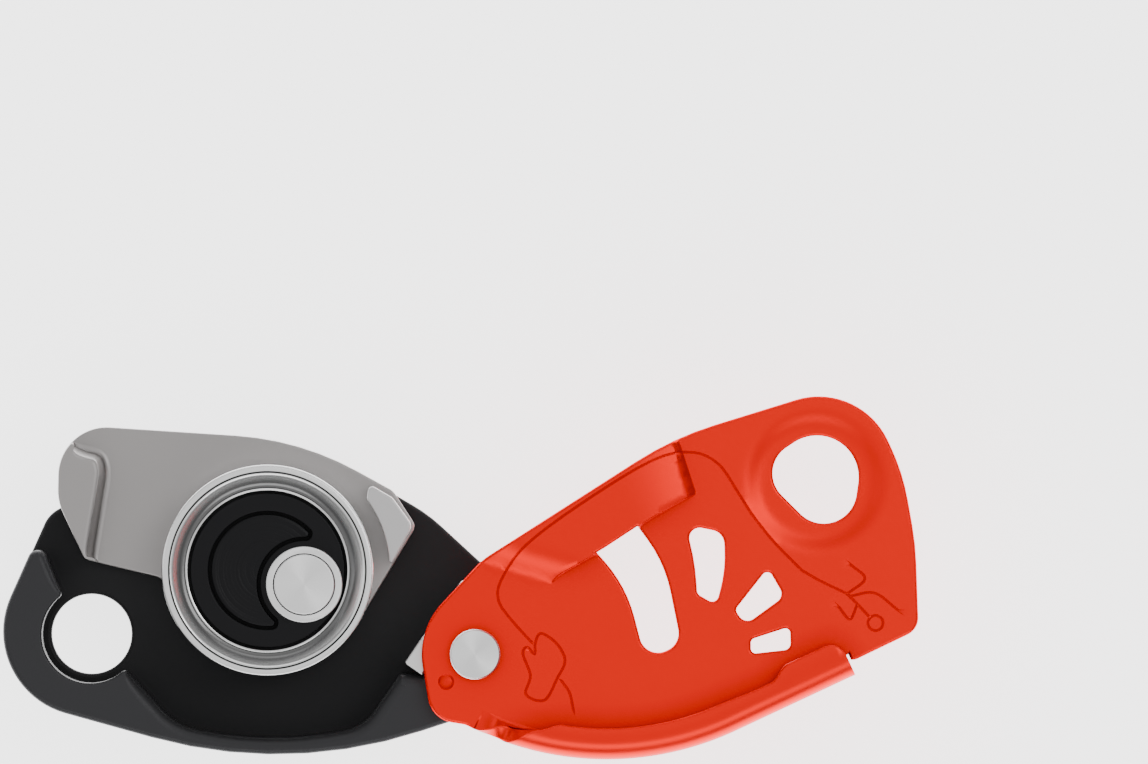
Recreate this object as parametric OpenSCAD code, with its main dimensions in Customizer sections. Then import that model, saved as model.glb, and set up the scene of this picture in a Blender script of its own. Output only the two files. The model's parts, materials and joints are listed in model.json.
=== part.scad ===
// Rope descender for single rope: a grooved wheel rides on a pivoting steel cam that pinches the rope
// against a wear plate. The moving side plate stands open at its fully open stop.
// Frame: millimetres, Z along the pivots, origin in the attachment hole at the back of the fixed plate.

/* [Layout] */
// Pivot of the moving side plate, along X from the attachment hole
pivot_x = 71.3; // [71:0.1:71.6]
// Pivot of the moving side plate, along Y from the attachment hole
pivot_y = -3.6; // [-3.8:0.1:-3.4]
// Cam axle, along X
axle_x = 39.6; // [39.4:0.1:39.8]
// Cam axle, along Y
axle_y = 9.3; // [9.1:0.1:9.5]
// Wheel centre, along X
wheel_x = 32.8; // [32.7:0.1:32.9]
// Wheel centre, along Y
wheel_y = 11.9; // [11.8:0.1:12]

/* [Fixed side plate] */
// Thickness of the floor
floor_t = 3.5; // [3.2:0.1:3.6]
// Height of the rim and of the pivot block
rim_top = 19.4; // [18:0.1:19.4]
// Radius of the attachment hole
hole_r = 7.4; // [6.5:0.1:7.6]
// Width of the bare floor around the attachment hole
hole_land = 1.6; // [1.2:0.1:2]

/* [Moving side plate] */
// Height of its inner face
plate_z = 20; // [20:0.1:20.4]
// Sheet thickness
plate_t = 3; // [2.5:0.1:3]
// Angle of the open plate, from X to the line through its two holes
open_angle = 27.1; // [20:0.1:40]
// Outer radius of the rolled lip
lip_r = 4; // [3.8:0.1:4.6]
// Rise of the lanced band above the sheet
band_rise = 2.4; // [1.5:0.1:2.6]

/* [Cam] */
// Thickness of the cam's base plate
cam_t = 2.5; // [2.2:0.1:2.6]
// Height of the raised pad above the base plate
pad_h = 9; // [6:0.5:11]
// Height of the pinch nose above the base plate
nose_h = 11; // [9:0.5:12]

/* [Wheel and bearing] */
// Outer radius of the wheel's flanges
wheel_r = 19.6; // [19:0.1:19.8]
// Radius at the root of the rope groove
groove_root = 17.6; // [17.5:0.1:17.8]
// Radius of the bearing balls
ball_r = 1; // [0.9:0.05:1]
// Number of balls
ball_count = 24; // [16:1:28]

/* [Release handle] */
// Reach of the handle from the cam axle to the centre of its tip
handle_reach = 46; // [40:1:50]
// Thickness of the handle
handle_t = 8.6; // [8.6:0.1:9.2]
// Angle of the folded handle from X
handle_angle = -10; // [-12:1:-8]

/* [Hidden] */
$fn = 96;
pivot = [pivot_x, pivot_y];
axle = [axle_x, axle_y];
wheel_c = [wheel_x, wheel_y];
hole_span = norm(pivot);
cam_z = floor_t + 0.5;
cam_top = cam_z + cam_t;
wheel_z = cam_top + 0.4;
wheel_top = plate_z - 0.5;
groove_z = (wheel_z + wheel_top) / 2;
rope_r = 5;
hub_top = 17.3;
hub_r = 14.3;
core_r = 12.6;
head_r = 5.7;
collar_r = 7.1;
shaft_r = 3.5;
handle_z = -1.8;
handle_back = handle_z - handle_t;
race_z = wheel_z + 2.7;
race_w = 6;
pitch_r = 14.5;
pin_r = 3;
pin_head_r = 4.7;
face_start = [58.1, -5.3];
face_angle = 55.3;
wear_t = 4.1;
wear_l = 19.6;
lip_c = [38.5, 21.8];
lip_path_r = 56.4;
lip_tilt = -2;
lip_l = 24.8;
lip_start = 229.5;
graphite = [0.2, 0.2, 0.21];
orange = [0.86, 0.23, 0.1];
satin = [0.63, 0.62, 0.62];
steel = [0.82, 0.82, 0.83];
black = [0.07, 0.07, 0.07];
bronze = [0.7, 0.5, 0.25];

// Directions, angles and arcs
function dir(a) = [cos(a), sin(a)];
function unit(v) = v / norm(v);
function xy(p) = [p[0], p[1]];
function ang(v) = atan2(v[1], v[0]);
function wrap(a) = a > 180 ? a - 360 : a < -180 ? a + 360 : a;
function arc(c, r, from, to, n) = [for (i = [0:n]) c + r * dir(from + (to - from) * i / n)];

// The arc that rounds corner b, a point [x, y, radius], between its neighbours a and c
function corner(a, b, c) =
    b[2] < 0.05 ? [xy(b)] :
    let (u = unit(xy(a) - xy(b)), v = unit(xy(c) - xy(b)), half = acos(u * v) / 2,
         m = xy(b) + unit(u + v) * b[2] / sin(half), reach = b[2] / tan(half),
         from = ang(xy(b) + u * reach - m), turn = wrap(ang(xy(b) + v * reach - m) - from),
         n = max(2, ceil(abs(turn) / 9), ceil(abs(turn) * b[2] / 230)))
    arc(m, b[2], from, from + turn, n);

// A closed outline through corners [x, y, radius]
function rounded(p) = [for (i = [0:len(p) - 1])
    each corner(p[(i + len(p) - 1) % len(p)], p[i], p[(i + 1) % len(p)])];

// The corner whose rounding is the arc about c from angle a to angle b
function arc_corner(c, r, a, b) = [each c + r / cos((b - a) / 2) * dir((a + b) / 2), r];

// A crescent between an outer circle about the wheel centre and an inner one about the axle
function crescent(outer_r, inner_r, tip_r) =
    let (span = axle - wheel_c, d = norm(span), along = unit(span), across = [-along[1], along[0]],
         a = ((outer_r - tip_r) ^ 2 - (inner_r + tip_r) ^ 2 + d ^ 2) / (2 * d),
         h = sqrt((outer_r - tip_r) ^ 2 - a ^ 2),
         t1 = wheel_c + a * along + h * across, t2 = wheel_c + a * along - h * across,
         w1 = ang(t1 - wheel_c), w2 = ang(t2 - wheel_c) + 360,
         i1 = ang(t1 - axle), i2 = ang(t2 - axle) + 360)
    concat(arc(wheel_c, outer_r, w1, w2, 40), arc(t2, tip_r, w2, i2 + 180, 8),
           arc(axle, inner_r, i2, i1, 24), arc(t1, tip_r, i1 - 180, w1, 8));

module slab(z, h) translate([0, 0, z]) linear_extrude(h) children();
module post(p, r, z, h) translate([p[0], p[1], z]) cylinder(r = r, h = h);
module ring(p, outer_r, inner_r, z, h) difference() {
    post(p, outer_r, z, h);
    post(p, inner_r, z - 1, h + 2);
}

// ---- Fixed side plate and what is fastened to it ----

frame_outline = rounded([
    [-22.3, -9.7, 15.8], [36.7, -26.1, 86], [84.2, -10.3, 9.5], [80.2, 6, 6],
    [62.5, 22.3, 30], [44, 33, 25], [30, 35.6, 30], [8, 30.6, 20], [-8, 22.3, 6]]);

wear_back = face_start + (wear_t + 0.05) * dir(face_angle - 90);
rope_pocket = rounded([
    [-40, 15.6, 0], [-8.6, 15.6, 1.6], [-5.6, 8.1, 0.5], [-2, 3, 0], [6.6, -6.6, 1.5], [15.8, -16.7, 12],
    [26, -18.9, 60], [38, -19.2, 60], [50.3, -17.3, 9], [57.4, -7.2, 0.6], [wear_back[0], wear_back[1], 0.2],
    [each wear_back + 40 * dir(face_angle), 0], [60, 60, 0], [-40, 60, 0]]);

// Places the wear plate: X runs along its face, -Y into the block
module at_wear() translate([face_start[0], face_start[1], 0]) rotate(face_angle) children();

module wear_bores(r, depth) at_wear() for (x = [4, 15.5])
    translate([x, 0.01, 11.2]) rotate([90, 0, 0]) cylinder(r = r, h = depth);

module fixed_side_plate() color(graphite) difference() {
    union() {
        slab(0, rim_top) polygon(frame_outline);
        post(axle, 8.2, -1.4, 2);
    }
    slab(floor_t, rim_top) polygon(rope_pocket);
    post([0, 0], hole_r + hole_land, floor_t, rim_top);
    post([0, 0], hole_r, -1, rim_top);
    post(axle, 5, -2, 10);
    ring(axle, 10.2, 4, 2, 5);
    post(pivot, pin_r + 0.05, -1, rim_top + 2);
    wear_bores(1.5, 12);
    post(stop_at, 1.5, 0.8, 5);
    post(anchor_at, 0.9, 0.6, 5);
}

module friction_plate() color(steel) difference() {
    at_wear() slab(floor_t, 15.7) polygon(rounded(
        [[0, 0, 0.6], [wear_l, 0, 1.6], [wear_l, -wear_t, 0.4], [0, -wear_t, 0.3]]));
    wear_bores(1.5, 12);
    wear_bores(2.6, 1.2);
}

module friction_plate_rivets() color(steel) {
    wear_bores(1.47, 10);
    intersection() {
        wear_bores(2.55, 1.15);
        at_wear() translate([0, -10, 0]) cube([wear_l, 10, 30]);
    }
}

module axle_bush() color(bronze) ring(axle, 4.97, shaft_r + 0.04, -1.4, floor_t + 0.4 + 1.4);

stop_at = [17.2, 4.6];
module cam_stop_pin() color(steel) post(stop_at, 1.48, 0.8, cam_top - 0.9);

module side_plate_rivet() color(steel) {
    post(pivot, pin_r, -1.3, plate_z + plate_t + 2);
    translate([pivot[0], pivot[1], plate_z + plate_t + 0.1]) {
        cylinder(r = pin_head_r, h = 1);
        translate([0, 0, 1]) cylinder(r1 = pin_head_r, r2 = pin_head_r - 0.4, h = 0.4);
    }
    translate([pivot[0], pivot[1], -1.3]) cylinder(r1 = 3.9, r2 = 4.3, h = 0.7);
}

module pivot_rear_washer() color(steel) ring(pivot, 5.2, pin_r + 0.05, -0.6, 0.6);
module pivot_wave_washer() color(steel) ring(pivot, 7, pin_r + 0.08, rim_top + 0.05, plate_z - rim_top - 0.1);

// ---- Moving side plate, drawn with its pivot at the origin and its hole on X ----

module at_plate() translate([pivot[0], pivot[1], plate_z]) rotate(open_angle) children();

plate_outline = rounded([
    [75.2, -33.3, 3.5], [81.9, -19, 50], [85.9, -6, 40], [86.4, 12.8, 14.2], [50.9, 19, 60],
    [9.3, 15, 12], [-7.6, 8.9, 14], [-12.7, -7, 5.5], [-7.9, -10.6, 4],
    arc_corner(lip_c, lip_path_r, 218, 270 + lip_tilt),
    [each lip_c + lip_l * dir(lip_tilt) + lip_path_r * dir(lip_tilt - 90), 0], [61.6, -33, 0.6]]);

band_plan = rounded([
    [12.3, 30, 0], [13, 9, 2], [17.4, 5.2, 1], [20.5, 6.2, 4], [30, 6.6, 40], [41, 7.8, 30],
    [50.6, 8.2, 0.8], [52, 30, 0]]);

windows = [
    rounded([[28, 9, 0.3], [30.7, -1.5, 25], [27.6, -15.4, 3.4], [34.8, -15.6, 3.4], [38.9, -1, 25],
             [37.3, 9, 0.3]]),
    rounded([[45.6, 3.6, 1.9], [51.2, -0.9, 2.6], [48.4, -7.1, 25], [43.9, -12.2, 1.2], [41.7, -8.8, 1.3],
             [44.1, -3.3, 40]]),
    rounded([[46.6, -14.6, 1], [55.5, -10.5, 1], [55.8, -16.5, 1.7], [47, -17.9, 1.8]]),
    rounded([[46.7, -20.8, 0.9], [54.2, -22, 0.9], [52.4, -25.8, 1.3], [45.5, -23.2, 0.9]])];

plate_hole = rounded([[61.8, 7, 5.7], [87.5, 10, 7.7], [69.2, -15.9, 6.1]]);

// Section of the rolled lip about its bend centre, X outwards, w the level run past the crest
module lip_section(w) polygon(concat(
    [[-0.4, -lip_r]], arc([0, 0], lip_r, -90, 90, 16), [[-w, lip_r], [-w, lip_r - plate_t]],
    arc([0, 0], lip_r - plate_t, 90, -90, 8), [[-0.4, plate_t - lip_r]]));

// The lip: rolled along an arc, then straight, and wider over its last stretch
module lip() translate([lip_c[0], lip_c[1], 0]) rotate(lip_tilt) {
    rotate(lip_start) rotate_extrude(angle = 270 - lip_start)
        translate([lip_path_r - lip_r, lip_r]) lip_section(1.4);
    translate([0, lip_r - lip_path_r, lip_r]) rotate([90, 0, 90]) linear_extrude(lip_l)
        mirror([1, 0]) lip_section(1.4);
    translate([lip_l - 13, lip_r - lip_path_r + 1.2, 2 * lip_r - plate_t]) cube([12, 1.7, plate_t]);
}

// The strip of the outline that the lip takes the place of
module lip_zone() translate([lip_c[0], lip_c[1]]) rotate(lip_tilt) {
    difference() {
        polygon([[0, 0], 90 * dir(lip_start), 90 * dir(250), 90 * dir(270)]);
        circle(r = lip_path_r - lip_r);
    }
    translate([-0.01, -80]) square([lip_l + 0.01, 80 - lip_path_r + lip_r]);
}

module band_profile() rotate([90, 0, 0]) translate([0, 0, -40]) linear_extrude(80) polygon([
    [10, plate_t], [13, plate_t], [20, plate_t + band_rise], [39, plate_t + band_rise],
    [49.4, plate_t + band_rise * 0.55], [51.2, plate_t], [62, plate_t], [62, 0], [51.2, 0],
    [49.4, band_rise * 0.55], [39, band_rise], [20, band_rise], [13, 0], [10, 0]]);

module side_plate() color(orange) at_plate() {
    difference() {
        slab(0, plate_t) difference() {
            polygon(plate_outline);
            lip_zone();
            polygon(band_plan);
            polygon(plate_hole);
            for (w = windows) polygon(w);
            circle(r = pin_r + 0.6);
        }
        post([-7.1, -2.1], 1.4, plate_t - 0.8, 2);
        post([hole_span - 0.8, 0], 11, plate_t - 0.5, 2);
    }
    intersection() {
        band_profile();
        slab(-1, 10) intersection() {
            polygon(plate_outline);
            polygon(band_plan);
        }
    }
    lip();
}

module side_plate_liner() color(black) at_plate() ring([0, 0], pin_r + 0.56, pin_r + 0.06, 0, plate_t);

// ---- Cam and what turns with it ----

cam_outline = rounded([
    [-6, 39, 9], [38.8, 36.1, 54], [56, 26.6, 3], [60.3, 20, 2], [48.3, 0, 6], [34, -7.4, 12],
    [24.5, -5, 3], [19.6, 6.2, 0.6], [14.9, 6.2, 0.6], [13.4, 10.3, 3], [-1.3, 13.9, 1.3],
    [-6.3, 24.6, 10]]);

spring_leg = axle + 5.7 * dir(40);

module nose() difference() {
    slab(cam_top - 0.01, nose_h) polygon(rounded(
        [[51.6, 27.9, 0.8], [55.9, 25.4, 3], [59.7, 20.2, 1.8], [55.7, 12.8, 0.6], [50, 18, 0]]));
    post(wheel_c, wheel_r + 3, cam_top - 1, nose_h + 2);
}

module pad() slab(cam_top - 0.01, pad_h) polygon(rounded(
    [[-6.3, 34.8, 4], [2.9, 33, 3.5], [-0.2, 13.6, 0.8], [-1.3, 13.9, 1.2], [-6.3, 24.6, 10]]));

module cam() color(satin) difference() {
    union() {
        slab(cam_z, cam_t) polygon(cam_outline);
        pad();
        nose();
    }
    post(axle, shaft_r, 0, 20);
    post(spring_leg, 0.6, 0, 20);
    for (p = screw_at) {
        post(p, 1.3, 0, 20);
        post(p, 2.4, 0, cam_z + 1.3);
    }
}

// The spring: half turns of strip about two centres, wound between the bush and its pocket's wall
spring_pitch = 1.3;
module half_turn(r, y) translate([0, y, 0]) rotate_extrude(angle = 180)
    translate([r - 0.25, 0]) square([0.5, 1.3]);

module cam_spring() color(steel) {
    translate([axle[0], axle[1], 2.15]) rotate(40) for (k = [0:1]) {
        half_turn(5.7 + k * spring_pitch, 0);
        translate([spring_pitch / 2, 0, 0]) rotate(180) half_turn(5.7 + (k + 0.5) * spring_pitch, 0);
    }
    post(spring_leg, 0.55, 2.15, 3.5);
}

anchor_at = axle + (5.7 + 2 * spring_pitch) * dir(40 + 8);
module spring_anchor_pin() color(steel) post(anchor_at, 0.88, 0.6, 3);

screw_at = [for (a = [110, 215]) wheel_c + 9 * dir(a)];
module hub_screws() color(steel) for (p = screw_at) {
    post(p, 1.27, cam_z + 0.1, 6.8);
    post(p, 2.35, cam_z + 0.1, 1.2);
}

module hub() color(black) difference() {
    union() {
        post(wheel_c, core_r - 0.02, cam_top, hub_top - cam_top);
        post(wheel_c, hub_r, race_z + race_w + 0.02, hub_top - race_z - race_w - 0.02);
    }
    post(axle, shaft_r, 0, 20);
    slab(12, 10) polygon(crescent(11, 8.1, 1.25));
    for (p = screw_at) post(p, 1.3, 0, 11);
}

module crescent_key() color(black) slab(12, hub_top - 12.15) polygon(crescent(10.35, 8.75, 0.6));

module cam_axle() color(steel) {
    post(axle, shaft_r - 0.01, handle_back + 2, hub_top + 0.6 - handle_back - 2);
    post(axle, head_r, hub_top + 0.6, 1.5);
    translate([axle[0], axle[1], hub_top + 2.1]) cylinder(r1 = head_r, r2 = head_r - 0.25, h = 0.25);
}

module axle_collar() color(steel) translate([axle[0], axle[1], hub_top + 0.03]) difference() {
    union() {
        cylinder(r = collar_r, h = 1.9);
        translate([0, 0, 1.9]) cylinder(r1 = collar_r, r2 = collar_r - 0.3, h = 0.3);
    }
    translate([0, 0, 0.55]) cylinder(r = head_r + 0.06, h = 3);
    translate([0, 0, -1]) cylinder(r = shaft_r + 0.02, h = 3);
}

module drive_dog() color(steel) difference() {
    union() {
        post(axle, 4.8, -7.4, 3.6);
        intersection() {
            post(axle, 6.8, -7.4, 3.6);
            translate([axle[0], axle[1], -8]) rotate(dog_angle) translate([0, -2, 0]) cube([10, 4, 6]);
        }
    }
    post(axle, shaft_r, -9, 8);
}

module axle_rear_washer() color(steel) ring(axle, 7.5, shaft_r + 0.01, handle_back + 2, 0.8);
module axle_rear_screw() color(steel) difference() {
    post(axle, 5, handle_back + 0.3, 1.68);
    translate([axle[0], axle[1], handle_back - 0.5]) cylinder(r = 2.3, h = 1.9, $fn = 6);
}

// ---- Wheel and its bearing ----

module about_wheel() translate([wheel_c[0], wheel_c[1], 0]) children();

module wheel() color(steel) about_wheel() rotate_extrude() difference() {
    polygon([
        [16.5, wheel_z], [wheel_r - 0.3, wheel_z], [wheel_r, wheel_z + 0.3], [wheel_r, wheel_top - 0.4],
        [wheel_r - 0.4, wheel_top], [18.35, wheel_top], [18.2, wheel_top - 0.2], [18.05, wheel_top],
        [17.4, wheel_top - 0.9], [16.4, wheel_top - 1.5], [15.3, wheel_top - 1.7],
        [15.1, wheel_top - 1.4], [14.8, wheel_top - 1.4], [14.75, wheel_top - 1.6],
        [14.75, race_z + race_w + 0.1], [16.5, race_z + race_w + 0.1]]);
    translate([groove_root + rope_r, groove_z]) circle(r = rope_r);
    translate([15, wheel_z + 1.5]) square([2, 1]);
}

module race(outer_r, inner_r) about_wheel() rotate_extrude() difference() {
    translate([inner_r, race_z]) square([outer_r - inner_r, race_w]);
    translate([pitch_r, race_z + race_w / 2]) circle(r = ball_r + 0.05);
}

module bearing_inner_race() color(steel) race(13.8, core_r);
module bearing_outer_race() color(steel) race(16.47, 15.2);

module bearing_balls() color(steel) about_wheel() for (i = [0:ball_count - 1])
    rotate(i * 360 / ball_count) translate([pitch_r, 0, race_z + race_w / 2]) sphere(r = ball_r, $fn = 24);

module bearing_cage() color(bronze) about_wheel() difference() {
    ring([0, 0], 15, 14, race_z + 1.4, race_w - 2.8);
    for (i = [0:ball_count - 1]) rotate(i * 360 / ball_count)
        translate([12, 0, race_z + race_w / 2]) rotate([0, 90, 0]) cylinder(r = ball_r + 0.08, h = 5);
}

module bearing_shield() color(steel) ring(wheel_c, 16.4, 12.95, race_z - 0.15, 0.13);
module bearing_snap_ring() color(steel) difference() {
    ring(wheel_c, 16.95, 15.6, wheel_z + 1.55, 0.9);
    translate([wheel_c[0] - 1.5, wheel_c[1] - 20, wheel_z]) cube([3, 10, 5]);
}

// ---- Release handle on the back, drawn folded ----

dog_angle = handle_angle + 120;
module at_handle() translate([axle[0], axle[1], 0]) rotate(handle_angle) children();

handle_outline = rounded([
    [-13, -13, 11], [handle_reach * 0.5, -10.6, 40], [handle_reach + 9, -7, 6.3],
    [handle_reach + 9, 7, 6.3], [handle_reach * 0.5, 10.6, 40], [-13, 13, 11]]);

module handle() color(black) difference() {
    at_handle() slab(handle_back, handle_t) polygon(handle_outline);
    post(axle, 9.02, -7.6, 10);
    post(axle, 8.1, handle_back - 1, 10);
    at_handle() {
        for (i = [0:4]) translate([handle_reach - 10 + i * 3.4, -20, handle_back - 0.6])
            cube([1.6, 40, 1.6]);
        slab(handle_z - 5.6, 8) polygon(rounded(
            [[14, -7, 2], [handle_reach - 2, -4.6, 3.5], [handle_reach - 2, 4.6, 3.5], [14, 7, 2]]));
    }
}

// Steel insert: the dog swings in its pocket for the handle's free travel, then carries the cam
module handle_insert() color(steel) difference() {
    post(axle, 9, -7.6, 5.8);
    post(axle, shaft_r + 0.05, -9, 10);
    post(axle, 4.86, -8, 4.4);
    translate([axle[0], axle[1], -8]) rotate(dog_angle - 145.5) rotate_extrude(angle = 171)
        square([6.9, 4.3]);
}

fixed_side_plate();
friction_plate();
friction_plate_rivets();
axle_bush();
cam_stop_pin();
spring_anchor_pin();
side_plate_rivet();
pivot_rear_washer();
pivot_wave_washer();
side_plate();
side_plate_liner();
cam();
cam_spring();
hub();
hub_screws();
crescent_key();
cam_axle();
axle_collar();
drive_dog();
axle_rear_washer();
axle_rear_screw();
bearing_inner_race();
bearing_outer_race();
bearing_balls();
bearing_cage();
bearing_shield();
bearing_snap_ring();
wheel();
handle();
handle_insert();
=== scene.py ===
import json
from math import acos, atan2, ceil, cos, pi, radians, sin, sqrt, tan

import bmesh
import bpy
import numpy as np
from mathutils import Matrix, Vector
from mathutils.geometry import delaunay_2d_cdt


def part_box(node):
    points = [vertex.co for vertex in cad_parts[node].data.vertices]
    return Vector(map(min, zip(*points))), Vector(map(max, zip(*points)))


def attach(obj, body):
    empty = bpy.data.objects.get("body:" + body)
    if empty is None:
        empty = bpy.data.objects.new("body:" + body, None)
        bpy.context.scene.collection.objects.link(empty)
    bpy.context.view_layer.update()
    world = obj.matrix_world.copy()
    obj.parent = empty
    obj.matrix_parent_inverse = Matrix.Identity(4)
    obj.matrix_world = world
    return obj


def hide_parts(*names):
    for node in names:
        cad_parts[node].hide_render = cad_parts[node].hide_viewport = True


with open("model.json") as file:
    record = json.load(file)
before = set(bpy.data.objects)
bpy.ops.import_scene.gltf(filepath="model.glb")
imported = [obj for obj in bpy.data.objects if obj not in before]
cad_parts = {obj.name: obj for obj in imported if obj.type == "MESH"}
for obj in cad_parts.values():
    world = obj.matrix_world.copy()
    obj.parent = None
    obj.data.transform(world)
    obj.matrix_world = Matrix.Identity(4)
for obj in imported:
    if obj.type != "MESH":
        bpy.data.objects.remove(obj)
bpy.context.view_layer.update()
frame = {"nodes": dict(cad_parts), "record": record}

MM = 0.001
FAR = 1e9          # further than any distance here
TRIANGLE = 0.866   # row spacing of a net of equilateral triangles
CAP_GAP = 0.004    # points of an end face closer together than this are one


# ---------------------------------------------------------------- sizes, in mm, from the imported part
def span(node):
    lo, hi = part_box(node)
    return np.array(lo) / MM, np.array(hi) / MM


def middle(node):
    lo, hi = span(node)
    return ((lo + hi) / 2)[:2]


WHEEL = middle("wheel")
AXLE = middle("axle_collar")
PIVOT = middle("side_plate_rivet")
OPEN = radians(27.1)  # the side plate's own X axis against the part's
FLOOR_T = 3.5         # the frame's floor lies on z = 0
RIM_TOP = span("fixed_side_plate")[1][2]
PLATE_Z = span("side_plate")[0][2]
PLATE_T = 3.0
CAM_Z = span("cam")[0][2]
CAM_TOP = CAM_Z + 2.5
WHEEL_R = 19.6
WHEEL_TOP = span("wheel")[1][2]
HUB_TOP = span("hub")[1][2]
BACK = span("handle")[0][2]


# ---------------------------------------------------------------- plane outlines
def rounded(corners, step=5.0, longest=0.8, closed=True):
    """An outline through corners (x, y, radius): an arc point every step degrees, no gap over longest."""
    out = []
    n = len(corners)
    for i in range(n):
        a, b, c = (np.array(corners[(i + k) % n][:2], float) for k in (-1, 0, 1))
        r = corners[i][2]
        if r < 0.02 or (not closed and i in (0, n - 1)):
            out.append(b)
            continue
        u, v = (a - b) / np.linalg.norm(a - b), (c - b) / np.linalg.norm(c - b)
        half = acos(max(-1, min(1, float(u @ v)))) / 2
        m = b + (u + v) / np.linalg.norm(u + v) * r / sin(half)
        start = b + u * r / tan(half) - m
        end = b + v * r / tan(half) - m
        f, t = atan2(start[1], start[0]), atan2(end[1], end[0])
        turn = (t - f + pi) % (2 * pi) - pi
        k = max(2, ceil(abs(turn) / radians(step)))
        out += [m + r * np.array([cos(f + turn * j / k), sin(f + turn * j / k)]) for j in range(k + 1)]
    return dense(np.array(out), longest, closed)


def clean(loop, apart=0.02):
    """The loop without points closer together than apart."""
    out = [loop[0]]
    for p in loop[1:]:
        if np.linalg.norm(p - out[-1]) > apart:
            out.append(p)
    while np.linalg.norm(out[-1] - out[0]) <= apart:
        out.pop()
    return np.array(out)


def dense(loop, longest, closed=True):
    """The same line with extra points, so that no gap is longer than longest."""
    out = []
    for i in range(len(loop) if closed else len(loop) - 1):
        a, b = loop[i], loop[(i + 1) % len(loop)]
        k = max(1, ceil(np.linalg.norm(b - a) / longest))
        if np.linalg.norm(b - a) > 1e-6:
            out += [a + (b - a) * j / k for j in range(k)]
    if not closed:
        out.append(loop[-1])
    return np.array(out)


def curve(points, longest=0.5, closed=False):
    """A smooth line through points."""
    p = [np.array(q, float) for q in points]
    out = []
    n = len(p)
    for i in range(n if closed else n - 1):
        if closed:
            a, b, c, d = p[i - 1], p[i], p[(i + 1) % n], p[(i + 2) % n]
        else:
            b, c = p[i], p[i + 1]
            a = p[i - 1] if i else 2 * b - c
            d = p[i + 2] if i + 2 < n else 2 * c - b
        k = max(2, ceil(np.linalg.norm(c - b) / longest))
        for j in range(k):
            t = j / k
            out.append(0.5 * (2 * b + (c - a) * t + (2 * a - 5 * b + 4 * c - d) * t * t
                              + (3 * b - a - 3 * c + d) * t ** 3))
    if not closed:
        out.append(p[-1])
    return np.array(out)


def circle(c, r, n=96):
    """A circle about c, counterclockwise."""
    a = np.arange(n) * 2 * pi / n
    return np.array(c)[:2] + r * np.stack([np.cos(a), np.sin(a)], 1)


def area(loop):
    """The loop's area, above 0 when it runs counterclockwise."""
    x, y = loop[:, 0], loop[:, 1]
    return 0.5 * float(np.sum(x * np.roll(y, -1) - np.roll(x, -1) * y))


def inside(points, loop):
    """Which of the points lie inside the loop."""
    p = np.asarray(points, float)
    hit = np.zeros(len(p), bool)
    x, y = p[:, 0], p[:, 1]
    for i in range(len(loop)):
        (x0, y0), (x1, y1) = loop[i - 1], loop[i]
        if y0 == y1:
            continue
        hit ^= ((y0 > y) != (y1 > y)) & (x < (x1 - x0) * (y - y0) / (y1 - y0) + x0)
    return hit


def away(points, line, closed=True):
    """Distance from each point to the line."""
    p = np.asarray(points, float)
    best = np.full(len(p), FAR)
    for i in range(0 if closed else 1, len(line)):
        a, b = line[i - 1], line[i]
        d = b - a
        t = np.clip(((p - a) @ d) / max(float(d @ d), 1e-12), 0, 1)
        best = np.minimum(best, np.linalg.norm(p - a - t[:, None] * d, axis=1))
    return best


def eased(values, times):
    """Values round a loop, averaged with their neighbours so many times."""
    for _ in range(times):
        values = (np.roll(values, 1) + values + np.roll(values, -1)) / 3
    return values


def normals(loop):
    """The direction into the material at each point of a loop that keeps the material on its left."""
    e = np.roll(loop, -1, 0) - loop
    e /= np.maximum(np.linalg.norm(e, axis=1), 1e-9)[:, None]
    n = np.stack([-e[:, 1], e[:, 0]], 1)
    m = n + np.roll(n, 1, 0)
    m /= np.maximum(np.linalg.norm(m, axis=1), 1e-9)[:, None]
    return m / np.clip(np.sum(m * n, axis=1), 0.6, 1)[:, None]


def triangles(lines, points, keep):
    """Triangles over the region where keep(points) is true, following every (line, closed) given."""
    verts, edges = [], []
    for line, closed in lines:
        s = len(verts)
        verts += [Vector((float(p[0]), float(p[1]))) for p in line]
        edges += [(s + i, s + i + 1) for i in range(len(line) - 1)]
        if closed:
            edges.append((s + len(line) - 1, s))
    verts += [Vector((float(p[0]), float(p[1]))) for p in points]
    v, _, f, _, _, _ = delaunay_2d_cdt(verts, edges, [], 0, 1e-5)
    v = np.array([tuple(p) for p in v])
    f = np.array([tuple(t) for t in f if len(t) == 3])
    u, w = v[f[:, 1]] - v[f[:, 0]], v[f[:, 2]] - v[f[:, 0]]
    f = f[np.abs(u[:, 0] * w[:, 1] - u[:, 1] * w[:, 0]) > 2e-4]
    return v, f[keep(v[f].mean(1))]


def boundary(loops, keep):
    """The outlines, material on the left and largest first, of the region where keep is true."""
    v, f = triangles([(l, True) for l in loops], [], keep)
    edge = {}
    for t in f:
        if area(v[t]) < 0:
            t = t[::-1]
        for i in range(3):
            edge[(t[i], t[(i + 1) % 3])] = True
    nxt = {a: b for a, b in edge if (b, a) not in edge}
    out = []
    while nxt:
        first = next(iter(nxt))
        ring, at = [], first
        while at in nxt:
            ring.append(at)
            at = nxt.pop(at)
        if len(ring) > 5 and abs(area(v[ring])) > 0.3:
            out.append(v[ring])
    return sorted(out, key=lambda l: -abs(area(l)))


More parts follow.
